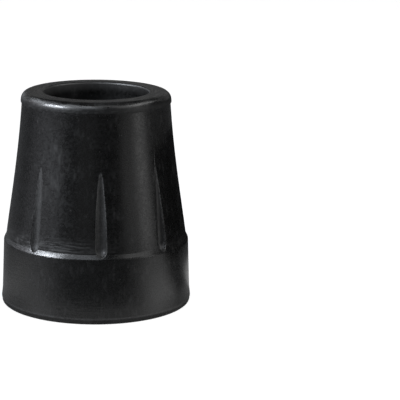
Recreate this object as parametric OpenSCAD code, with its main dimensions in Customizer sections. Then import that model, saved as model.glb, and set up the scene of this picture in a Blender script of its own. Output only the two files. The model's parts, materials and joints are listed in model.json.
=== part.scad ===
// Rubber tip for the foot of a walking stick.
// One moulded piece: a lipped socket for the shaft, a fluted bell-shaped body,
// a collar that spreads the load, and a tread of concentric rings under it.
// The origin is the middle of the tread, where it stands on the ground, and +Z is the shaft's axis.

/* [Socket] */
// Diameter of the socket that the shaft is pressed into
bore_d = 22; // [16:0.5:26]
// Rounding of the socket's mouth
mouth_round = 0.45; // [0.2:0.05:1]
// Rounding between the socket's wall and its floor
floor_round = 0.6; // [0.2:0.1:2]
// Solid rubber between the socket's floor and the ground
sole_t = 13; // [7:0.5:20]

/* [Rim] */
// Height from the ground to the top of the rim
height = 45; // [38:0.5:60]
// Wall at the rim, from the socket to the outside of the lip
rim_wall = 4.75; // [3.5:0.05:7]
// Height of the lip
lip_h = 2.15; // [1.6:0.05:4]
// How far the lip stands proud of the neck under it
lip_proud = 0.2; // [0.05:0.05:0.8]
// Rounding of the lip's outer edge, limited by the lip's height
lip_round = 2; // [0.5:0.1:3]

/* [Body] */
// How far the flare from the neck down to the shoulder is hollowed, where it is deepest
flare_bow = 0.3; // [0.05:0.05:0.8]
// Hollow rounding where the body meets the shoulder
foot_round = 0.4; // [0.1:0.1:2]

/* [Flutes] */
// Number of flutes round the body
flute_n = 8; // [4:1:12]
// Width of a flute
flute_w = 2.4; // [1:0.1:4]
// Depth of a flute at the foot of the body
flute_depth = 1.25; // [0.5:0.05:2]
// Height at which a flute runs out to nothing
flute_top = 31; // [22:0.5:36]
// How far the round end of a flute bites down into the shoulder
flute_bite = 0.55; // [0:0.05:0.8]

/* [Collar] */
// Height from the ground to the collar's upper edge
collar_h = 13.5; // [8:0.5:17]
// How far the collar's wall leans in from its skirt to its upper edge
collar_draft = 0.35; // [0:0.05:1]
// Rounding of the collar's upper edge
collar_round = 0.8; // [0.1:0.1:2]
// Height of the sloping shoulder between the collar's edge and the body
shoulder_h = 1; // [0.8:0.1:3]
// How far the shoulder comes in from the collar's edge to the body
shoulder_w = 0.5; // [0.2:0.05:1.5]
// Height at which the wall turns out towards the parting ridge
skirt_h = 2.9; // [2:0.1:6]

/* [Base] */
// Diameter of the band under the parting ridge
base_d = 40; // [36:0.5:50]
// Height of the band
band_h = 0.9; // [0.6:0.05:1.3]
// Rounding of the band's edge on the ground
edge_round = 0.45; // [0.1:0.05:0.6]
// How far the parting ridge stands proud of the band
ridge_proud = 0.1; // [0.05:0.05:0.5]
// Height of the parting ridge
ridge_h = 0.3; // [0.1:0.05:0.5]
// How far the collar's wall stands inside the band
wall_inset = 0.1; // [0:0.05:0.5]

/* [Tread] */
// Diameter of the round boss in the middle
boss_d = 9.7; // [6:0.1:12]
// Width of the inner groove at the ground
inner_groove_w = 2.85; // [2.2:0.05:4]
// Width of the ring between the two grooves at the ground
ring_w = 2.95; // [1.5:0.05:4.5]
// Width of the outer groove at the ground
outer_groove_w = 3.15; // [2.2:0.05:4]
// Depth of both grooves
tread_depth = 2.5; // [1:0.1:2.7]
// Slope of the wall on the inner side of a groove, in degrees from upright
inner_slope = 28; // [10:1:30]
// Slope of the wall on the outer side of a groove, in degrees from upright
outer_slope = 14; // [5:1:16]
// Diameter of the dimple in the middle of the boss
dimple_d = 1.6; // [0.5:0.1:4]
// Depth of the dimple
dimple_depth = 0.25; // [0.1:0.05:0.5]

/* [Hidden] */
$fn = 144;
// Straight steps along the flare, and round a softened corner
flare_steps = 14;
corner_steps = 4;
// How far a cut runs past the face that it opens
past = 1;
bore_r = bore_d / 2;
rim_r = bore_r + rim_wall;
neck_r = rim_r - lip_proud;
neck_h = height - lip_h;
base_r = base_d / 2;
ridge_r = base_r + ridge_proud;
ridge_top = band_h + ridge_h;
skirt_r = base_r - wall_inset;
collar_r = skirt_r - collar_draft;
foot_r = collar_r - shoulder_w;
foot_h = collar_h + shoulder_h;
lip_edge_r = min(lip_round, lip_h - 0.05);
inner_groove_r = boss_d / 2;
outer_groove_r = inner_groove_r + inner_groove_w + ring_w;

// Share of flare_bow at t of the way down the flare: none at its ends, all of it at two fifths
function bow_share(t) = t * pow(1 - t, 1.5) / (0.4 * pow(0.6, 1.5));

// Radius of the flare at height z, from the neck down to the foot of the body
function flare_r(z) =
    let (t = (neck_h - z) / (neck_h - foot_h))
    neck_r + (foot_r - neck_r) * t - flare_bow * bow_share(t);

// Points of an arc of radius r that rounds the corner b between a and c
function rounded(a, b, c, r) =
    let (
        u = (a - b) / norm(a - b),
        v = (c - b) / norm(c - b),
        half = acos(u * v) / 2,
        start = b + u * r / tan(half),
        end = b + v * r / tan(half),
        centre = b + (u + v) / norm(u + v) * r / sin(half)
    )
    [
        for (i = [0 : corner_steps])
        let (ray = start - centre + (end - start) * i / corner_steps)
        centre + ray / norm(ray) * r
    ];

// A quarter of a disc, for a rounded edge that looks to +X and +Y
module quarter(r) {
    intersection() {
        circle(r = r);
        square(r);
    }
}

// Half of the outside from the ground to the neck: band, ridge, collar, shoulder and flare
module body_section() {
    step_h = (neck_h - foot_h) / flare_steps;
    flare = [for (i = [0 : flare_steps]) [flare_r(foot_h + i * step_h), foot_h + i * step_h]];
    skirt = [skirt_r, skirt_h];
    collar_edge = [collar_r, collar_h];
    polygon(concat(
        [[0, 0], [base_r - edge_round, 0], [base_r, edge_round], [base_r, band_h]],
        [[ridge_r, band_h + ridge_h / 2], [ridge_r, ridge_top], skirt],
        rounded(skirt, collar_edge, flare[0], collar_round),
        rounded(collar_edge, flare[0], flare[1], foot_round),
        [for (i = [1 : flare_steps]) flare[i]],
        [[0, neck_h]]
    ));
    translate([base_r - edge_round, edge_round]) mirror([0, 1]) quarter(edge_round);
}

// Half of the lip round the rim
module lip_section() {
    polygon([
        [0, neck_h],
        [rim_r, neck_h],
        [rim_r, height - lip_edge_r],
        [rim_r - lip_edge_r, height],
        [0, height]
    ]);
    translate([rim_r - lip_edge_r, height - lip_edge_r]) quarter(lip_edge_r);
}

// Half of the socket, with its rounded mouth and floor
module socket_section() {
    difference() {
        translate([0, sole_t]) square([bore_r, height - sole_t + past]);
        difference() {
            translate([bore_r - floor_round, sole_t]) square(floor_round);
            translate([bore_r - floor_round, sole_t + floor_round]) circle(r = floor_round);
        }
    }
    difference() {
        translate([bore_r, height - mouth_round]) square([mouth_round, mouth_round + past]);
        translate([bore_r + mouth_round, height - mouth_round]) circle(r = mouth_round);
    }
}

// Half of one groove of the tread: r is its inner edge on the ground, w its width there
module groove_section(r, w) {
    inner_run = tread_depth * tan(inner_slope);
    outer_run = tread_depth * tan(outer_slope);
    polygon([[r, 0], [r + inner_run, tread_depth], [r + w - outer_run, tread_depth], [r + w, 0]]);
}

// Dimple in the middle of the boss, part of a sphere
module dimple() {
    ball_r = (pow(dimple_d / 2, 2) + pow(dimple_depth, 2)) / (2 * dimple_depth);
    translate([0, 0, dimple_depth - ball_r]) sphere(r = ball_r);
}

// Cutter for one flute on the +X side. It leans in less than the body does, from its round end
// in the shoulder up to flute_top, where it has run out of the body.
module flute() {
    cut_r = flute_w / 2;
    end_h = foot_h - flute_bite + cut_r;
    floor_r = foot_r - flute_depth;
    lean = atan((floor_r - flare_r(flute_top)) / (flute_top - foot_h));
    run = (flute_top - end_h) / cos(lean) + flute_w;
    translate([floor_r + cut_r / cos(lean), 0, end_h]) {
        sphere(r = cut_r);
        rotate([0, 90, 0]) cylinder(r = cut_r, h = flute_depth + past);
        rotate([0, -lean, 0]) {
            cylinder(r = cut_r, h = run);
            translate([0, -cut_r, 0]) cube([flute_depth + past, flute_w, run]);
        }
    }
}

// The whole tip, as one moulded piece
module cane_tip() {
    color([0.1, 0.1, 0.105]) difference() {
        rotate_extrude() difference() {
            union() {
                body_section();
                lip_section();
            }
            socket_section();
            groove_section(inner_groove_r, inner_groove_w);
            groove_section(outer_groove_r, outer_groove_w);
        }
        for (i = [0 : flute_n - 1]) rotate(i * 360 / flute_n) flute();
        dimple();
    }
}

cane_tip();
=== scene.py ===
"""Rubber tip for the foot of a walking stick, dressed round its CAD frame."""

import json
import math

import bmesh
import bpy
from bpy.props import FloatProperty, FloatVectorProperty, IntProperty, PointerProperty
from mathutils import Matrix, Vector


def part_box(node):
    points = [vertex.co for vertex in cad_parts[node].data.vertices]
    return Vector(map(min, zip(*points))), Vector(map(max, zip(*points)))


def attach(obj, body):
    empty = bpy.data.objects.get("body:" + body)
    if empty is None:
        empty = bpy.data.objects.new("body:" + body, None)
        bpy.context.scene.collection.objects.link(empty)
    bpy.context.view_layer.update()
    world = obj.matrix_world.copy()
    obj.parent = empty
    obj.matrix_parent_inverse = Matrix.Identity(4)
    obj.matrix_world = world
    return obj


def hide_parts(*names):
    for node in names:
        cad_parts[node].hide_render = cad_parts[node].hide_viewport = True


bl_info = {
    "name": "Cane tip",
    "version": (1, 0, 0),
    "blender": (4, 5, 0),
    "location": "View3D > Sidebar > Cane tip",
    "description": "Moulds a fluted rubber tip for a walking stick and sets up a plain studio",
    "category": "Object",
}

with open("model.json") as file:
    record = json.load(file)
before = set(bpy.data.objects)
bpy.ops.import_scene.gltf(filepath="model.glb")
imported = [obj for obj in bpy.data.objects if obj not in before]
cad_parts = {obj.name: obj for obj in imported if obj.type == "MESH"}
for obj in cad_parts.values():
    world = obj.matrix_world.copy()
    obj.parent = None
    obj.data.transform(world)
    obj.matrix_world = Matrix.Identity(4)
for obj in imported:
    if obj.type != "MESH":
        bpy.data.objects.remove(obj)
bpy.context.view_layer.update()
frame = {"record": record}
NODE_LOW, NODE_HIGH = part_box("cane_tip")
BASE_RADIUS = (NODE_HIGH.x - NODE_LOW.x) / 2
TIP_HEIGHT = NODE_HIGH.z - NODE_LOW.z
SOCKET = next(m for m in frame["record"]["mounts"] if m["name"] == "socket")
MM = 0.001


def length(name, description, default):
    """A size in metres, given here in millimetres."""
    return FloatProperty(
        name=name, description=description, default=default * MM,
        unit="LENGTH", subtype="DISTANCE", precision=5,
    )


def colour(name, description, default):
    """A colour of the finish."""
    return FloatVectorProperty(
        name=name, description=description, default=default,
        subtype="COLOR", size=3, min=0, max=1,
    )


def share(name, description, default):
    """A number from none to all."""
    return FloatProperty(
        name=name, description=description, default=default,
        subtype="FACTOR", min=0, max=1,
    )


class TipSizes(bpy.types.PropertyGroup):
    """Sizes of the moulded tip."""

    height: length("Height", "From the ground to the rim", TIP_HEIGHT / MM)
    bore_r: length("Socket radius", "Radius of the socket", SOCKET["dims"]["r_mm"])
    mouth_round: length("Mouth rounding", "Rounding of the socket's mouth", 0.45)
    floor_round: length("Floor rounding", "Rounding of the socket's floor", 0.6)
    sole: length("Sole", "Rubber under the socket", 13)
    rim_r: length("Rim radius", "Radius of the lip", 15.75)
    lip_h: length("Lip height", "Height of the lip", 2.15)
    lip_proud: length("Lip proud", "How far the lip stands out", 0.2)
    lip_round: length("Lip rounding", "Rounding of the lip's edge", 2)
    lip_square: share("Lip squareness", "Profile of the lip's rounding, 0.5 for a circle", 0.56)
    flare_bow: length("Flare hollow", "How far the flare is hollowed", 0.3)
    foot_r: length("Foot radius", "Radius of the body at the shoulder", 19.05)
    foot_h: length("Foot height", "Height of the shoulder's upper edge", 14.5)
    foot_round: length("Foot rounding", "Hollow rounding at the shoulder", 0.4)
    collar_r: length("Collar radius", "Radius at the collar's upper edge", 19.55)
    collar_h: length("Collar height", "Height of the collar's upper edge", 13.5)
    collar_round: length("Collar rounding", "Rounding of the collar's edge", 0.8)
    skirt_r: length("Skirt radius", "Radius where the wall turns out", 19.9)
    skirt_h: length("Skirt height", "Height where the wall turns out", 2.9)
    ridge_r: length("Ridge radius", "Radius of the parting ridge", BASE_RADIUS / MM)
    ridge_low: length("Ridge bottom", "Lower edge of the parting ridge", 1.05)
    ridge_top: length("Ridge top", "Upper edge of the parting ridge", 1.2)
    band_r: length("Band radius", "Radius of the band on the ground", 20)
    band_h: length("Band height", "Height of the band", 0.9)
    edge_round: length("Edge rounding", "Rounding of the band on the ground", 0.45)
    flute_w: length("Flute width", "Width of a flute", 2.4)
    flute_depth: length("Flute depth", "Depth of a flute at its foot", 1.25)
    flute_top: length("Flute top", "Height where a flute runs out", 31.2)
    flute_bite: length("Flute bite", "How far a flute's end bites down", 0.55)
    flute_end: length("Flute end", "Length of a flute's round lower end", 1.8)
    flute_edge: length("Flute edge", "Rounding of a flute's edge", 0.13)
    line_h: length("Line height", "How far the mould's mark runs on above a flute", 4.5)
    line_w: length("Line width", "Half width of that mark", 0.12)
    line_depth: length("Line depth", "Depth of that mark", 0.03)
    boss_r: length("Boss radius", "Radius of the boss in the tread", 4.85)
    inner_groove: length("Inner groove", "Width of the inner groove", 2.85)
    ring: length("Ring", "Width of the ring between the grooves", 2.95)
    outer_groove: length("Outer groove", "Width of the outer groove", 3.15)
    tread_depth: length("Tread depth", "Depth of the grooves", 2.5)
    tread_edge: length("Tread edge", "Softening of the tread's edges", 0.12)
    groove_round: length("Groove rounding", "Rounding of a groove's floor", 0.3)
    dimple_r: length("Dimple radius", "Radius of the dimple in the boss", 0.8)
    dimple_depth: length("Dimple depth", "Depth of the dimple", 0.25)
    inner_slope: FloatProperty(
        name="Inner slope", description="Slope of a groove's inner wall from upright",
        default=math.radians(28), subtype="ANGLE",
    )
    outer_slope: FloatProperty(
        name="Outer slope", description="Slope of a groove's outer wall from upright",
        default=math.radians(14), subtype="ANGLE",
    )
    flutes: IntProperty(name="Flutes", description="Number of flutes", default=8, min=4)
    stray: FloatProperty(
        name="Stray", description="How far one flute, the first from +X to -Y, stands off its even place",
        default=math.radians(-2.2), subtype="ANGLE",
    )


class TipFinish(bpy.types.PropertyGroup):
    """Colours and gloss of the rubber."""

    rubber: colour("Rubber", "Clean black rubber", (0.0042, 0.0042, 0.0042))
    # This grey is also mixed in for the painted light in the skin.
    dust_and_painted_light: colour("Dust", "Grey bloom and dust on the rubber", (0.10, 0.10, 0.10))
    gloss: share("Roughness", "Roughness of the moulded skin", 0.27)
    rub_place: FloatVectorProperty(
        name="Rubbed place", description="Middle of the rubbed patch on the body",
        default=(-9.6 * MM, -14.3 * MM, 31.5 * MM), subtype="TRANSLATION", unit="LENGTH",
    )
    texture: share("Texture", "Strength of the skin's fine texture", 0.75)


class StudioLook(bpy.types.PropertyGroup):
    """Camera, lamps and floor."""

    distance: length("Distance", "From the camera to the middle of the tip", 377.4)
    aim: length("Aim", "Height that the camera is set from", 21.9)
    lens: FloatProperty(
        name="Focal length", description="Focal length for a 36 mm sensor",
        default=160, unit="CAMERA", precision=2,
    )
    side: FloatProperty(
        name="Side", description="How far the camera stands round to the left",
        default=math.radians(3.0), subtype="ANGLE",
    )
    rise: FloatProperty(
        name="Rise", description="How far the camera stands above the level of its aim",
        default=math.radians(13.153), subtype="ANGLE",
    )
    turn: FloatProperty(
        name="Turn", description="How far the camera is turned right, past the tip",
        default=math.radians(3.339), subtype="ANGLE",
    )
    dip: FloatProperty(
        name="Dip", description="How far the camera is turned down",
        default=math.radians(0.06), subtype="ANGLE",
    )
    floor_colour: colour("Floor", "Colour of the floor", (0.5, 0.5, 0.5))
    dark_floor: colour("Dark floor", "Colour that the floor has for the tip", (0.12, 0.12, 0.12))
    flag_r: length("Flag radius", "Radius that the black flag is curved to", 30)
    flag_low: length("Flag bottom", "Height of the flag's lower edge", 9)
    flag_top: length("Flag top", "Height of the flag's upper edge", 35)
    flag_from: FloatProperty(
        name="Flag start", description="Where the flag starts, from the front to the right",
        default=math.radians(62), subtype="ANGLE",
    )
    flag_to: FloatProperty(
        name="Flag end", description="Where the flag ends",
        default=math.radians(176), subtype="ANGLE",
    )
    floor_glow: share("Floor glow", "How far the floor is lifted to the white background", 0.85)
    world_glow: share("World glow", "Light that the white background gives the tip", 0.02)
    pool_near: share("Near pool", "Light that the tip mirrors from the floor at its foot", 0.76)
    pool_left: share("Left pool", "Light that the tip mirrors from the floor at its left", 0.6)
    pool_behind: share(
        "Pool behind", "Light that the tip mirrors from the floor behind its right side", 0.5)
    pool_right: FloatProperty(
        name="Right pool", description="Light that the tip mirrors from the floor at its right",
        default=1.13, min=0,
    )


def only(obj):
    """Makes obj the only selected object, and the active one."""
    if bpy.context.mode != "OBJECT":
        bpy.ops.object.mode_set(mode="OBJECT")
    bpy.ops.object.select_all(action="DESELECT")
    obj.select_set(True)
    bpy.context.view_layer.objects.active = obj


def edit(obj):
    """Opens obj alone in edit mode with nothing selected."""
    only(obj)
    bpy.ops.object.mode_set(mode="EDIT")
    bpy.ops.mesh.select_all(action="DESELECT")


def pick(obj, parts, test):
    """Selects the verts, edges or faces of obj in edit mode that pass a test."""
    mode = {"verts": "VERT", "edges": "EDGE", "faces": "FACE"}[parts]
    bpy.ops.mesh.select_mode(type=mode)
    bpy.ops.mesh.select_all(action="DESELECT")
    mesh = bmesh.from_edit_mesh(obj.data)
    mesh.normal_update()
    for part in getattr(mesh, parts):
        if test(part):
            part.select_set(True)
    mesh.select_flush_mode()
    bmesh.update_edit_mesh(obj.data)


def apply_modifier(obj, kind, **settings):
    """Adds a modifier to obj and applies it."""
    only(obj)
    bpy.ops.object.modifier_add(type=kind)
    modifier = obj.modifiers[-1]
    for key, value in settings.items():
        setattr(modifier, key, value)
    bpy.ops.object.modifier_apply(modifier=modifier.name)


def draw_section(name, corners):
    """Draws an open line through corners (radius, height, rounding, segments) in the XZ plane,
    and rounds its corners. A fifth value makes a rounding squarer than a circle's 0.5."""
    bpy.ops.object.select_all(action="DESELECT")
    bpy.ops.mesh.primitive_plane_add(size=MM)
    obj = bpy.context.object
    obj.name = obj.data.name = name
    points = [Vector((r, 0, z)) for r, z, *_ in corners]
    same_place = 0.005 * MM
    bpy.ops.object.mode_set(mode="EDIT")
    bpy.ops.mesh.select_all(action="SELECT")
    bpy.ops.mesh.merge(type="CENTER")
    bpy.ops.transform.translate(value=points[0])
    for here, there in zip(points, points[1:]):
        bpy.ops.mesh.extrude_vertices_move(TRANSFORM_OT_translate={"value": there - here})
    for i, (_, _, rounding, segments, *profile) in enumerate(corners):
        if rounding:
            back, on = points[i - 1] - points[i], points[i + 1] - points[i]
            pick(obj, "verts", lambda v, p=points[i]: (v.co - p).length < same_place)
            bpy.ops.mesh.bevel(
                offset=rounding / math.tan(back.angle(on) / 2), segments=segments,
                profile=profile[0] if profile else 0.5, affect="VERTICES", clamp_overlap=False,
            )
    return obj


def spin_section(obj, steps):
    """Spins a section about the shaft's axis into a closed solid."""
    bpy.ops.mesh.select_all(action="SELECT")
    bpy.ops.mesh.spin(steps=steps, angle=math.tau, center=(0, 0, 0), axis=(0, 0, 1))
    bpy.ops.mesh.select_all(action="SELECT")
    bpy.ops.mesh.remove_doubles(threshold=0.002 * MM)
    bpy.ops.mesh.normals_make_consistent(inside=False)
    bpy.ops.object.mode_set(mode="OBJECT")


def flare_radius(s, z):
    """Radius of the flare at height z: a line from neck to foot, hollowed by flare_bow at two
    fifths of the way down, and less above and below."""
    neck_r, neck_h = s.rim_r - s.lip_proud, s.height - s.lip_h
    t = (neck_h - z) / (neck_h - s.foot_h)
    bow = t * max(1 - t, 0) ** 1.5 / (0.4 * 0.6**1.5)
    return neck_r + (s.foot_r - neck_r) * t - s.flare_bow * bow


def tip_corners(s):
    """The half section of the tip, from the tread's middle round the outside to the socket."""
    neck_h = s.height - s.lip_h
    line = []
    steps = 4
    for i in range(steps + 1):
        part = i / steps
        line.append((s.dimple_r * part, s.dimple_depth * (1 - part**2), 0, 0))
    r = s.boss_r
    for width in (s.inner_groove, s.outer_groove):
        deep = s.tread_depth
        inner = r + deep * math.tan(s.inner_slope)
        outer = r + width - deep * math.tan(s.outer_slope)
        line += [
            (r, 0, s.tread_edge, 3),
            (inner, deep, s.groove_round, 4),
            (outer, deep, s.groove_round, 4),
            (r + width, 0, s.tread_edge, 3),
        ]
        r += width + s.ring
    line += [
        (s.band_r, 0, s.edge_round, 6),
        (s.band_r, s.band_h, 0, 0),
        (s.ridge_r, s.ridge_low, 0, 0),
        (s.ridge_r, s.ridge_top, 0, 0),
        (s.skirt_r, s.skirt_h, 0, 0),
        (s.collar_r, s.collar_h, s.collar_round, 6),
    ]
    rings = Flutes(s).heights()
    slope = (s.collar_r - s.foot_r) / (s.foot_h - s.collar_h)
    line += [(s.foot_r + slope * (s.foot_h - z), z, 0, 0) for z in rings if z < s.foot_h]
    line.append((s.foot_r, s.foot_h, s.foot_round, 3))
    line += [(flare_radius(s, z), z, 0, 0) for z in rings if z > s.foot_h]
    line += [
        (s.rim_r, neck_h, 0, 0),
        (s.rim_r, s.height, s.lip_round, 14, s.lip_square),
        (s.bore_r, s.height, s.mouth_round, 6),
        (s.bore_r, s.sole, s.floor_round, 5),
        (0, s.sole, 0, 0),
    ]
    return line


class Flutes:
    """The flutes: troughs with a round floor and a round lower end, leaned in so that they run out
    of the flared body near flute_top. Everything here is measured from a flute's own middle line:
    across it, and up from the ground."""

    # Columns of points from a flute's middle to its edge, over the edge, and on to the border
    # with the next flute
    INNER, EDGE, OUTER = 10, 4, 8
    COLUMNS = INNER + EDGE + OUTER
    # The flute that stands off its even place
    STRAY = -1

    def __init__(self, s):
        self.s = s
        self.r = s.flute_w / 2
        self.low = s.foot_h - s.flute_bite
        self.end_h = self.low + s.flute_end
        self.floor_r = s.foot_r - s.flute_depth
        self.lean = (self.floor_r - flare_radius(s, s.flute_top)) / (s.flute_top - self.end_h)

    def heights(self):
        """Heights of the rings that a flute needs, close together where its lower end turns."""
        s = self.s
        rings = [self.low - s.flute_edge * (1 - math.cos(math.radians(a))) for a in (90, 67, 45, 22)]
        rings += [self.end_h - s.flute_end * math.sin(math.radians(7.5 * i)) for i in range(12, 0, -1)]
        steps = 40
        top = s.height - s.lip_h
        rings += [self.end_h + (top - self.end_h) * i / steps for i in range(steps + 1)]
        return [z for z in rings if abs(z - s.foot_h) > 0.1 * MM]

    def section(self, z, radius):
        """Half width, edge angle and depth of a flute at height z, above its round end."""
        floor = self.floor_r - self.lean * (z - self.end_h)
        depth = radius - floor
        half = 0.0
        for _ in range(6):
            deep = min(depth - half**2 / (2 * radius), self.r)
            half = math.sqrt(self.r**2 - (self.r - deep) ** 2) if deep > 0 else 0.0
        return half, math.asin(half / self.r) + half / radius, depth

    def across(self, z, radius):
        """Places of the columns across half a sector at height z: they follow a flute's edge."""
        s = self.s
        least, apart = 0.4 * MM, 0.02 * MM
        if z < self.end_h:
            end = (self.end_h - z) / s.flute_end
            half, turn = self.r * math.sqrt(max(1 - end**2, 0)), math.pi / 2
        else:
            half, turn, _ = self.section(z, radius)
        reach = s.flute_edge * math.tan(turn / 2)
        edge = max(half - reach * math.cos(turn), least)
        places = [edge * math.sin(math.pi / 2 * i / self.INNER) for i in range(self.INNER + 1)]
        for i in range(1, self.EDGE + 1):
            out = reach - s.flute_edge * math.sin(turn * (1 - i / self.EDGE))
            if z < self.end_h:
                place = self.r * math.sqrt(max((1 + out / self.r) ** 2 - end**2, 0))
            else:
                place = half + out
            places.append(max(place, places[-1] + apart))
        start, border = places[-1], radius * math.sin(math.pi / s.flutes)
        places += [start + (border - start) * (i / self.OUTER) ** 1.5 for i in range(1, self.OUTER + 1)]
        return places

    def press(self, across, z, radius):
        """How deep the outside is pressed in at a place, and how far that is inside the outline."""
        s = self.s
        outside = math.sqrt(radius**2 - across**2)
        if z < self.end_h:
            q = math.hypot(across / self.r, (self.end_h - z) / s.flute_end)
            inside, turn = self.r * (1 - q), math.pi / 2
            wall = outside - self.floor_r - self.r + self.r * math.sqrt(max(1 - q**2, 0))
            wall = max(wall, s.flute_edge)
        else:
            half, turn, depth = self.section(z, radius)
            if not half:
                above = z - s.flute_top
                fade = max(1 - above / s.line_h, 0) * max(1 - (across / s.line_w) ** 2, 0)
                return s.line_depth * math.sqrt(fade), -math.hypot(across, above)
            inside = half - abs(across)
            round_in = math.sqrt(max(self.r**2 - across**2, 0))
            wall = outside - (radius - depth) - self.r + round_in
            wall = max(wall, s.flute_edge * (1 - math.cos(turn)))
        reach = s.flute_edge * math.tan(turn / 2)
        if inside < -reach:
            return 0.0, inside
        if inside < reach * math.cos(turn):
            drop = max(s.flute_edge**2 - (inside + reach) ** 2, 0)
            return s.flute_edge - math.sqrt(drop), inside
        return wall, inside


def press_flutes(obj, s):
    """Slides the columns of the spun body to the edges of the flutes and presses the flutes in.
    The floor and edges are then one smooth skin, which a cut with its seams doesn't give."""
    flutes = Flutes(s)
    half = flutes.COLUMNS
    column = math.pi / (s.flutes * half)
    neck_r, neck_h = s.rim_r - s.lip_proud, s.height - s.lip_h
    free_h = s.flute_top + 2 * MM
    hair = 0.01 * MM
    edit(obj)
    mesh = bmesh.from_edit_mesh(obj.data)
    depth_layer = mesh.verts.layers.float.new("flute")
    for v in mesh.verts:
        radius, z = math.hypot(v.co.x, v.co.y), v.co.z
        v[depth_layer] = -1.0
        on_body = z > s.collar_h - s.collar_round and radius > neck_r - hair
        if not (on_body or radius > s.collar_r - MM) or z > neck_h - hair:
            continue
        place = round(math.atan2(v.co.y, v.co.x) / column)
        flute = round(place / (2 * half))
        j = place - 2 * half * flute
        across = math.copysign(flutes.across(z, radius)[abs(j)], j)
        angle = math.asin(across / radius)
        turn = flute * math.tau / s.flutes
        if flute == Flutes.STRAY:
            turn += s.stray * min((half - abs(j)) / flutes.OUTER, 1)
        if z > free_h:
            angle += (j * column - angle) * (z - free_h) / (neck_h - free_h)
            across = radius * math.sin(angle)
        pressed, inside = flutes.press(across, z, radius)
        v[depth_layer] = max(inside / MM, -1.0)
        x, y = radius * math.cos(angle) - pressed, across
        v.co.x = x * math.cos(turn) - y * math.sin(turn)
        v.co.y = x * math.sin(turn) + y * math.cos(turn)
    mesh.normal_update()
    bmesh.update_edit_mesh(obj.data)
    bpy.ops.object.mode_set(mode="OBJECT")


class Sheet:
    """A material's node tree, with short calls for adding nodes to it."""

    def __init__(self, name):
        self.material = bpy.data.materials.new(name)
        self.material.use_nodes = True
        self.tree = self.material.node_tree
        self.inputs = self.tree.nodes["Principled BSDF"].inputs
        self.place = self.tree.nodes.new("ShaderNodeTexCoord").outputs["Object"]

    def put(self, value, socket):
        """Sets or links an input."""
        if isinstance(value, bpy.types.NodeSocket):
            self.tree.links.new(value, socket)
        else:
            socket.default_value = value

    def node(self, kind, inputs, output=0, **settings):
        """Adds a node, fills its inputs and returns one output."""
        made = self.tree.nodes.new("ShaderNode" + kind)
        for key, value in settings.items():
            setattr(made, key, value)
        for key, value in inputs.items():
            self.put(value, made.inputs[key])
        return made.outputs[output]

    def maths(self, operation, *values):
        """A Math node."""
        return self.node("Math", dict(enumerate(values)), operation=operation)

    def product(self, first, *others):
        """Numbers multiplied together."""
        for other in others:
            first = self.maths("MULTIPLY", first, other)
        return first

    def total(self, start, layers):
        """A start with layers added to it, each a value and how much of it is added."""
        for value, amount in layers:
            start = self.maths("MULTIPLY_ADD", value, amount, start)
        return start

    def weaken(self, value, place, share):
        """Takes a share off a value where place is one."""
        return self.product(value, self.maths("SUBTRACT", 1.0, self.product(place, share)))

    def ramp(self, value, low, high, low_out=0.0, high_out=1.0):
        """Maps value from low..high to low_out..high_out, and holds it there."""
        return self.node(
            "MapRange",
            {0: value, 1: low, 2: high, 3: low_out, 4: high_out},
            interpolation_type="SMOOTHSTEP",
        )

    def band(self, value, start, full, last, end):
        """One where value is from full to last, fading to none at start and at end."""
        return self.product(self.ramp(value, start, full), self.ramp(value, end, last))

    def split(self, vector):
        """The X, Y and Z of a vector."""
        parts = self.tree.nodes.new("ShaderNodeSeparateXYZ")
        self.put(vector, parts.inputs[0])
        return parts.outputs[:3]

    def join(self, x, y, z):
        """A vector of three numbers."""
        return self.node("CombineXYZ", {0: x, 1: y, 2: z})

    def from_axis(self, x, y):
        """Distance of a place from the shaft's axis."""
        return self.maths("SQRT", self.maths("ADD", self.product(x, x), self.product(y, y)))

    def upward(self):
        """How far the surface faces up."""
        return self.split(self.node("NewGeometry", {}, output="Normal"))[2]

    def noise(self, scale, detail=2.0, roughness=0.5, place=None, stretch=None):
        """A noise of so many features a metre, drawn out by stretch if it is given."""
        where = place or self.place
        if stretch:
            where = self.node("Mapping", {"Vector": where, "Scale": stretch})
        inputs = {"Vector": where, "Scale": scale, "Detail": detail, "Roughness": roughness}
        return self.node("TexNoise", inputs)

    def mix(self, share, first, second):
        """Mixes two colours."""
        return self.node(
            "Mix", {"Factor": share, 6: first, 7: second}, output=2, data_type="RGBA"
        )


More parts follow.
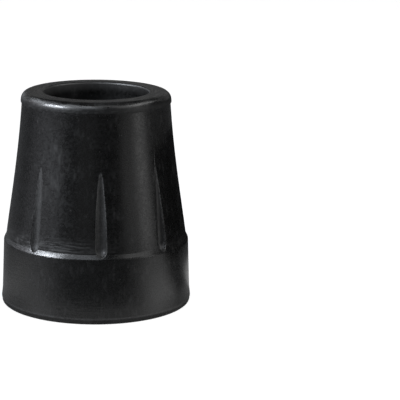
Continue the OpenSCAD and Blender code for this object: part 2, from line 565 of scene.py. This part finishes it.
class RubberSkin(Sheet):
    """The skin of the moulded rubber: its patterns, its places, and what they make of it."""

    def __init__(self, name, s, look):
        super().__init__(name)
        self.s = s
        self.look = look
        self.x, self.y, self.z = self.split(self.place)
        self.radius = self.from_axis(self.x, self.y)
        self.add_patterns()
        self.add_places()
        self.add_scuffs()

    def add_patterns(self):
        """Noises from coarse to fine. Streaks stand upright, and rubs run round the tip."""
        self.cloud = self.noise(90, detail=2)
        self.mottle = self.noise(300, detail=4)
        self.streaks = self.noise(1300, detail=3, roughness=0.6, stretch=(1, 1, 0.3))
        self.grain = self.noise(1700, detail=3, roughness=0.7)
        self.specks = self.ramp(self.noise(2300, detail=1), 0.70, 0.80)
        self.fine = self.noise(3200, detail=2, roughness=0.6)
        squeeze = 0.12
        along = self.join(
            self.product(self.x, squeeze),
            self.product(self.y, squeeze),
            self.maths("SUBTRACT", self.z, self.radius),
        )
        self.rubs = self.noise(2600, detail=3, roughness=0.6, place=along)

    def add_places(self):
        """Places on the tip, each one where it is and none elsewhere."""
        s, z, radius = self.s, self.z, self.radius
        upward = self.upward()
        self.top = self.ramp(upward, 0.25, 0.8)
        self.tread = self.product(self.ramp(z, 0.3 * MM, 0.0), self.ramp(upward, -0.5, -0.9))

        flute = self.node("Attribute", {}, output="Fac", attribute_name="flute")
        self.in_flute = self.ramp(flute, -0.05, 0.12)
        # A thin band just inside each flute's edge; the colour uses it for a painted highlight.
        self.flute_edge = self.band(flute, -0.1, 0.02, 0.1, 0.25)

        # The socket and its mouth: the colour gets painted shade deeper in the socket and painted light
        # just inside the mouth.
        in_bore = self.ramp(radius, s.bore_r + 0.3 * MM, s.bore_r)
        self.socket = self.product(in_bore, self.ramp(z, s.height - 1 * MM, s.height - 5 * MM))
        self.mouth = self.product(in_bore, self.ramp(z, s.height - 2.4 * MM, s.height - 0.4 * MM))

        neck_h = s.height - s.lip_h
        near_rim = self.ramp(radius, s.rim_r - 1.2 * MM, s.rim_r - 0.8 * MM)
        under_lip = self.band(
            z, neck_h - 0.65 * MM, neck_h + 0.05 * MM, neck_h + 0.25 * MM, neck_h + 0.95 * MM)
        self.under_lip = self.product(under_lip, near_rim, self.ramp(self.fine, 0.45, 0.65))
        low_lip = self.band(
            z, neck_h - 0.25 * MM, neck_h + 0.05 * MM, neck_h + 0.85 * MM, neck_h + 1.25 * MM)
        self.low_lip = self.product(low_lip, near_rim)

        self.collar = self.ramp(z, s.collar_h - 0.1 * MM, s.collar_h - 1.1 * MM)
        ridge = self.band(
            z, s.ridge_low - 0.2 * MM, s.ridge_low - 0.05 * MM, s.ridge_top, s.ridge_top + 0.3 * MM)
        self.ridge = self.product(ridge, self.ramp(radius, s.band_r - 0.3 * MM, s.band_r - 0.05 * MM))

    def add_scuffs(self):
        """The scuffed foot of the body, most at the left, and the rubbed patch above it. In the colour
        the foot's grey is partly a painted glow of the shoulder's highlight, strongest on the lit left.
        """
        foot_h = self.s.foot_h
        self.foot = self.product(
            self.band(self.z, foot_h - 0.5 * MM, foot_h + 0.1 * MM, foot_h + 0.5 * MM, foot_h + 4 * MM),
            self.ramp(self.rubs, 0.42, 0.66, 0.15, 1),
            self.ramp(self.x, 6 * MM, -4 * MM, 0.15, 1),
        )
        from_patch = self.node(
            "Mapping", {"Vector": self.place, "Location": [-part for part in self.look.rub_place]})
        tall = (1, 1, 0.42)
        from_patch = self.node("VectorMath", {0: from_patch, 1: tall}, operation="MULTIPLY")
        off = self.node("VectorMath", {0: from_patch}, output="Value", operation="LENGTH")
        self.patch = self.product(
            self.ramp(off, 4.6 * MM, 1.2 * MM), self.ramp(self.streaks, 0.35, 0.65))

    def dust_and_painted_light(self):
        """How far the skin is greyed by bloom, smudges, specks and rub marks, with painted light and
        shade mixed in.
        """
        bloom = self.product(self.ramp(self.mottle, 0.1, 0.9), self.ramp(self.cloud, 0.2, 0.8, 0.5, 1))
        smudge = self.product(self.ramp(self.streaks, 0.48, 0.75), self.ramp(self.mottle, 0.4, 0.6))
        # Grey dirt in the flutes, made strongest in the left flute and least in the right one; that
        # change from side to side is painted light and shade.
        flute_dust_and_painted_light = self.product(
            self.in_flute,
            self.ramp(self.fine, 0.35, 0.65, 0.4, 1),
            self.ramp(self.x, 3 * MM, 11 * MM, 1, 0.4),
            self.ramp(self.x, -13 * MM, -4 * MM, 0.9, 0.4),
        )
        dust_and_painted_light = self.total(0.0, (
            (bloom, 0.025),
            (self.ramp(self.grain, 0.4, 0.75), 0.03),
            (smudge, 0.22),
            (self.product(self.specks, self.ramp(self.cloud, 0.35, 0.6)), 0.5),
            (flute_dust_and_painted_light, 1.0),
            (self.under_lip, 0.22),
            # Painted highlight along the flutes' edges, broken by fine noise.
            (self.product(self.flute_edge, self.ramp(self.fine, 0.35, 0.6)), 0.6),
            (self.product(self.top, self.ramp(self.mottle, 0.35, 0.65, 0.3, 1)), 0.14),
            (self.product(self.tread, self.ramp(self.mottle, 0.3, 0.7, 0.6, 1)), 0.6),
            (self.patch, 0.17),
            # Scuffs above the shoulder, partly a painted glow of the shoulder's highlight on the lit
            # left.
            (self.foot, 0.22),
            # The parting ridge is made lighter grey, broken by grain.
            (self.product(self.ridge, self.ramp(self.grain, 0.3, 0.6, 0.4, 1)), 0.55),
        ))
        # Painted shade deeper in the socket, and painted light just inside its mouth.
        return self.total(self.weaken(dust_and_painted_light, self.socket, 0.6), [(self.mouth, 0.5)])

    def roughness(self, dust_and_painted_light):
        """The moulded skin's roughness, and more where it is dusty or scuffed, and where light is painted
        in.
        """
        gloss = self.look.gloss
        rough = self.ramp(self.mottle, 0.3, 0.7, gloss - 0.015, gloss + 0.02)
        return self.total(rough, (
            (self.ramp(self.grain, 0.35, 0.7, -0.03, 0.05), 1.0),
            (self.in_flute, 0.08),
            (dust_and_painted_light, 0.3),
            (self.product(self.ramp(self.rubs, 0.35, 0.65, -0.12, 0.08), self.top), 1.0),
            (self.under_lip, 0.2),
            (self.low_lip, 0.1),
            (self.socket, 0.12),
            (self.foot, 0.18),
        ))

    def relief(self):
        """Fine texture that stands out most at the left and least in the socket."""
        on_top = self.total(0.1, [(self.top, 1.2)])
        height = self.total(0.0, (
            (self.streaks, 0.22),
            (self.grain, 0.5),
            (self.rubs, on_top),
            (self.product(self.rubs, self.foot), 0.35),
            (self.product(self.collar, self.rubs), 0.5),
        ))
        height = self.product(height, self.ramp(self.x, -16 * MM, 6 * MM, 2.8, 0.4))
        height = self.weaken(height, self.socket, 0.5)
        settings = {"Strength": self.look.texture, "Distance": 0.04 * MM, "Height": height}
        return self.node("Bump", settings)


def rubber_material(name, s, look):
    """Black moulded rubber: a satin skin with a thin grey bloom, smudges, rub marks and dirt, and painted
    light and shade in its colour.
    """
    skin = RubberSkin(name, s, look)
    dust_and_painted_light = skin.dust_and_painted_light()
    skin.put(skin.mix(dust_and_painted_light, (*look.rubber, 1), (*look.dust_and_painted_light, 1)), skin.inputs["Base Color"])
    skin.put(skin.roughness(dust_and_painted_light), skin.inputs["Roughness"])
    skin.put(1.5, skin.inputs["IOR"])
    skin.put(skin.relief(), skin.inputs["Normal"])
    return skin.material


class CANETIP_OT_mould(bpy.types.Operator):
    """Moulds the rubber tip: a spun body with its flutes pressed in, and its rubber"""

    bl_idname = "canetip.mould"
    bl_label = "Mould the tip"

    def execute(self, context):
        s, look = context.scene.tip_sizes, context.scene.tip_finish
        obj = draw_section("moulded_tip", tip_corners(s))
        spin_section(obj, 2 * s.flutes * Flutes.COLUMNS)
        press_flutes(obj, s)
        obj.data.materials.append(rubber_material("black_rubber", s, look))
        only(obj)
        bpy.ops.object.shade_smooth_by_angle(angle=math.radians(35))
        apply_modifier(obj, "WEIGHTED_NORMAL", keep_sharp=True)
        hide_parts("cane_tip")
        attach(obj, "root")
        return {"FINISHED"}


def floor_pools(m, look):
    """Soft pools of light on the floor round the tip: near its foot, at its sides and behind it.
    An angle is in radians from -Y, more to the right, and a distance is from the shaft's axis."""
    x, y, _ = m.split(m.place)
    away = m.from_axis(x, y)
    angle = m.maths("ARCTAN2", x, m.product(y, -1.0))
    near = m.product(
        m.ramp(away, 38 * MM, 28 * MM, 0, look.pool_near),
        m.ramp(m.maths("ABSOLUTE", angle), 1.3, 0.75, 0.2, 1),
        # Dimmed next to the tip's base: a painted contact shadow in the floor's reflection.
        m.ramp(away, 20.5 * MM, 24 * MM, 0.3, 1),
    )
    right = m.product(look.pool_right, m.band(angle, 0.5, 1.0, 1.25, 1.5))
    left = m.product(
        m.ramp(angle, -0.55, -1.15, 0, look.pool_left),
        m.ramp(angle, -2.1, -1.4, 0.2, 1),
        m.ramp(angle, -3.0, -2.4),
    )
    sides = m.product(
        m.maths("ADD", left, right),
        m.ramp(away, 26 * MM, 36 * MM),
        m.ramp(away, 90 * MM, 42 * MM, 0.3, 1),
    )
    front = m.product(m.maths("ADD", near, sides), m.ramp(away, 160 * MM, 90 * MM))
    behind = m.product(
        look.pool_behind, m.band(angle, 1.8, 2.0, 2.6, 3.0), m.ramp(away, 50 * MM, 42 * MM))
    return m.maths("ADD", front, behind)


def floor_material(look):
    """A floor that is white to the camera and dark to the tip, whose shine sees pools on it."""
    m = Sheet("white_floor")
    seen = m.node("LightPath", {}, output="Is Camera Ray")
    mirrored = m.node("LightPath", {}, output="Is Glossy Ray")
    m.put(m.mix(seen, (*look.dark_floor, 1), (*look.floor_colour, 1)), m.inputs["Base Color"])
    m.put(0.9, m.inputs["Roughness"])
    m.put((1, 1, 1, 1), m.inputs["Emission Color"])
    pools = m.product(mirrored, floor_pools(m, look))
    m.put(m.total(pools, [(seen, look.floor_glow)]), m.inputs["Emission Strength"])
    return m.material


def lay_floor(look):
    """Lays a plain floor a hair under the tread, so that the two don't share one plane."""
    bpy.ops.object.select_all(action="DESELECT")
    bpy.ops.mesh.primitive_plane_add(size=3, location=(0, 0, -0.02 * MM))
    floor = bpy.context.object
    floor.name = "floor"
    floor.data.materials.append(floor_material(look))


def flag_material():
    """Black cloth."""
    m = Sheet("flag_cloth")
    m.put((0.004, 0.004, 0.004, 1), m.inputs["Base Color"])
    m.put(0.8, m.inputs["Roughness"])
    return m.material


def black_flag(look):
    """Stands a curved black flag round the tip's right side. Only its reflections see it."""
    bpy.ops.mesh.primitive_cylinder_add(
        vertices=180, radius=look.flag_r, depth=look.flag_top - look.flag_low,
        end_fill_type="NOTHING", location=(0, 0, (look.flag_top + look.flag_low) / 2),
    )
    flag = bpy.context.object
    flag.name = "black_flag"
    edit(flag)

    def off_flag(face):
        middle = face.calc_center_median()
        return not look.flag_from < math.atan2(middle.x, -middle.y) < look.flag_to

    pick(flag, "faces", off_flag)
    bpy.ops.mesh.delete(type="FACE")
    bpy.ops.object.mode_set(mode="OBJECT")
    flag.data.materials.append(flag_material())
    flag.visible_camera = flag.visible_diffuse = flag.visible_shadow = False


def white_world(look):
    """Makes a world that is white to the camera and nearly dark to the tip."""
    world = bpy.data.worlds.new("studio")
    bpy.context.scene.world = world
    world.use_nodes = True
    nodes, links = world.node_tree.nodes, world.node_tree.links
    ground = nodes["Background"]
    path = nodes.new("ShaderNodeLightPath")
    level = nodes.new("ShaderNodeMapRange")
    links.new(path.outputs["Is Camera Ray"], level.inputs["Value"])
    level.inputs["To Min"].default_value = look.world_glow
    level.inputs["To Max"].default_value = 1.0
    links.new(level.outputs["Result"], ground.inputs["Strength"])
    ground.inputs["Color"].default_value = (1, 1, 1, 1)


def area_lamp(name, azimuth, elevation, distance, wide, tall, radiance, tint=(1, 1, 1)):
    """A soft lamp that looks at the tip's middle from an azimuth right of -Y. Its angles are in
    degrees, and so are its width and height, as the tip sees them."""
    a, e = math.radians(azimuth), math.radians(elevation)
    back = Vector((math.sin(a) * math.cos(e), -math.cos(a) * math.cos(e), math.sin(e)))
    middle = Vector((0, 0, 22 * MM))
    bpy.ops.object.light_add(type="AREA", location=middle + back * distance)
    lamp = bpy.context.object
    lamp.name = name
    lamp.rotation_euler = back.to_track_quat("Z", "Y").to_euler()
    width, height = (2 * distance * math.tan(math.radians(part / 2)) for part in (wide, tall))
    lamp.data.shape = "RECTANGLE"
    lamp.data.size, lamp.data.size_y = width, height
    lamp.data.energy = radiance * math.pi * width * height
    lamp.data.color = tint
    return lamp


COOL = (0.93, 0.985, 1.06)
PALE = (0.985, 0.985, 1.06)

# Lamps that only the tip's shine sees, for the bright lines on its lip and shoulder.
# In both tables: name, azimuth, elevation, distance, width, height, radiance, tint.
SHINE_LAMPS = (
    ("key", -72, 30, 0.8, 28, 10, 58, COOL),
    ("rim_key", -96, 48, 0.8, 44, 13, 2.6, COOL),
    ("rim_left", -122, 36, 0.8, 30, 16, 4, COOL),
    ("rim_front", -40, 56, 0.8, 46, 13, 4.4, COOL),
)
SOFT_LAMPS = (
    ("left_softbox", -102, 21, 0.8, 54, 16, 1.7, PALE),
    ("left_low", -82, 2.5, 0.8, 60, 11, 0.65, PALE),
    ("left_back", -150, 6, 0.8, 40, 14, 0.4, COOL),
    ("front_low", -18, 3, 0.8, 28, 14, 0.2),
    ("front_fill", -24, 38, 0.8, 40, 20, 1.9, COOL),
    ("top_fill", 10, 66, 0.8, 60, 14, 1.1),
    ("back_fill", 178, 17, 0.8, 96, 20, 0.15),
    ("right_fill", 56, 40, 0.8, 36, 24, 1.4),
    ("right_rim", 96, 47, 0.8, 40, 16, 3),
    ("right_low", 63, 1.5, 0.3, 14, 6, 1.0),
    ("right_panel", 63, 4, 0.34, 20, 26, 1.1),
    ("right_upper", 63, 22, 0.8, 17, 10, 1.2),
    ("right_soft", 43, 5, 0.8, 20, 14, 0.6),
    ("right_side", 92, 5, 0.8, 40, 14, 0.22),
)


def set_up_lamps():
    """Sets up the lamps of both tables."""
    for settings in SHINE_LAMPS:
        area_lamp(*settings).visible_diffuse = False
    for settings in SOFT_LAMPS:
        area_lamp(*settings)


def aim_camera(look):
    """Sets the camera where the picture was taken from."""
    flat = math.cos(look.rise)
    back = Vector((-math.sin(look.side) * flat, -math.cos(look.side) * flat, math.sin(look.rise)))
    place = Vector((0, 0, look.aim)) + back * look.distance
    ahead = -back
    right = ahead.cross(Vector((0, 0, 1))).normalized()
    up = right.cross(ahead)
    right, ahead = (right * math.cos(look.turn) - ahead * math.sin(look.turn),
                    right * math.sin(look.turn) + ahead * math.cos(look.turn))
    up, ahead = (up * math.cos(look.dip) + ahead * math.sin(look.dip),
                 ahead * math.cos(look.dip) - up * math.sin(look.dip))
    bpy.ops.object.camera_add()
    camera = bpy.context.object
    camera.name = "camera"
    camera.data.lens = look.lens
    camera.data.sensor_width = 36
    camera.data.clip_start, camera.data.clip_end = 0.01, 20
    turned = Matrix((right, up, -ahead)).transposed().to_4x4()
    camera.matrix_world = Matrix.Translation(place) @ turned
    bpy.context.scene.camera = camera


class CANETIP_OT_studio(bpy.types.Operator):
    """Sets up the plain floor, the white background, the soft lamps and the camera"""

    bl_idname = "canetip.studio"
    bl_label = "Set up the studio"

    def execute(self, context):
        look = context.scene.studio_look
        lay_floor(look)
        black_flag(look)
        white_world(look)
        set_up_lamps()
        aim_camera(look)
        context.scene.view_settings.view_transform = "Standard"
        return {"FINISHED"}


class CANETIP_PT_panel(bpy.types.Panel):
    """Sidebar panel of the cane tip"""

    bl_label = "Cane tip"
    bl_space_type = "VIEW_3D"
    bl_region_type = "UI"
    bl_category = "Cane tip"

    def draw(self, context):
        for operator in OPERATORS:
            self.layout.operator(operator.bl_idname)
        for group in (context.scene.tip_sizes, context.scene.tip_finish, context.scene.studio_look):
            box = self.layout.box()
            for key in group.bl_rna.properties.keys():
                if key not in ("rna_type", "name"):
                    box.prop(group, key)


OPERATORS = (CANETIP_OT_mould, CANETIP_OT_studio)
CLASSES = (TipSizes, TipFinish, StudioLook, *OPERATORS, CANETIP_PT_panel)


def register():
    """Registers the classes and the sizes, finish and look."""
    for cls in CLASSES:
        bpy.utils.register_class(cls)
    bpy.types.Scene.tip_sizes = PointerProperty(type=TipSizes)
    bpy.types.Scene.tip_finish = PointerProperty(type=TipFinish)
    bpy.types.Scene.studio_look = PointerProperty(type=StudioLook)


def unregister():
    """Takes them away again."""
    del bpy.types.Scene.tip_sizes, bpy.types.Scene.tip_finish, bpy.types.Scene.studio_look
    for cls in reversed(CLASSES):
        bpy.utils.unregister_class(cls)


def main():
    register()
    bpy.ops.canetip.mould()
    bpy.ops.canetip.studio()


if __name__ == "__main__":
    main()
